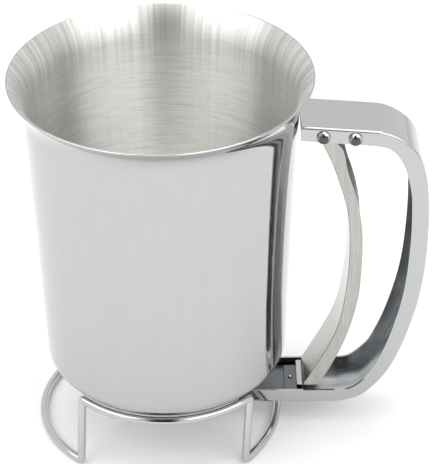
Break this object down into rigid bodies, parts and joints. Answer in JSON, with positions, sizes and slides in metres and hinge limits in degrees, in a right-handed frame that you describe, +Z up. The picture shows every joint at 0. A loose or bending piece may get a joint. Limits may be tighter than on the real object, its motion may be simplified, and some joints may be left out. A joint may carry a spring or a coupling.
{
  "type": "batter dispenser",
  "caption": "Stainless steel hand batter dispenser: flared bowl with a bottom outlet, a slide valve worked by a squeeze trigger in a channel handle, in a loose wire stand.",
  "frame": {"origin": "centre of the whole object's footprint box, at floor level", "axes": "+X from the bowl towards the handle's grip, +Y across the handle, +Z up through the bowl's open rim"},
  "size_m": [0.175, 0.127, 0.1711],
  "materials": {
    "polished": "mirror-polished stainless steel",
    "brushed": "brushed stainless steel",
    "satin": "satin stainless steel",
    "plate": "plain rolled stainless steel",
    "wire": "polished stainless wire",
    "spring": "drawn spring wire"
  },
  "bodies": {
    "stand": {"wire_stand": "wire"},
    "dispenser": {"bowl": "polished", "outlet_boss": "brushed", "handle": "polished", "upper_bracket": "brushed", "slide_track": "brushed", "slide_keeper": "brushed", "pivot_rivet": "polished", "pivot_rivet_cap": "polished", "pivot_sleeve": "brushed", "pivot_washer_front": "brushed", "pivot_washer_rear": "brushed", "anchor_rivet": "polished", "anchor_rivet_cap": "polished", "anchor_sleeve": "brushed", "return_spring": "spring"},
    "trigger": {"trigger": "satin"},
    "slide": {"slide_plate": "plate", "pull_angle": "polished", "pull_rivet": "polished"}
  },
  "joints": [
    {"name": "lift_off", "type": "slide", "parent": "stand", "child": "dispenser", "axis": [0, 0, 1], "range_m": [0, 0.12]},
    {"name": "trigger_pivot", "type": "hinge", "parent": "dispenser", "child": "trigger", "pos_m": [0.04245, 0, 0.1478], "axis": [0, -1, 0], "range_deg": [0, 6.5], "stiffness_Nm_per_rad": 1.5, "springref_deg": -6.88, "deforming": ["return_spring"]},
    {"name": "slide_travel", "type": "slide", "parent": "dispenser", "child": "slide", "axis": [1, 0, 0], "range_m": [0, 0.0152]}
  ],
  "couplings": [
    {"joint": "slide_travel", "follows": "trigger_pivot", "m_per_rad": 0.1333}
  ]
}
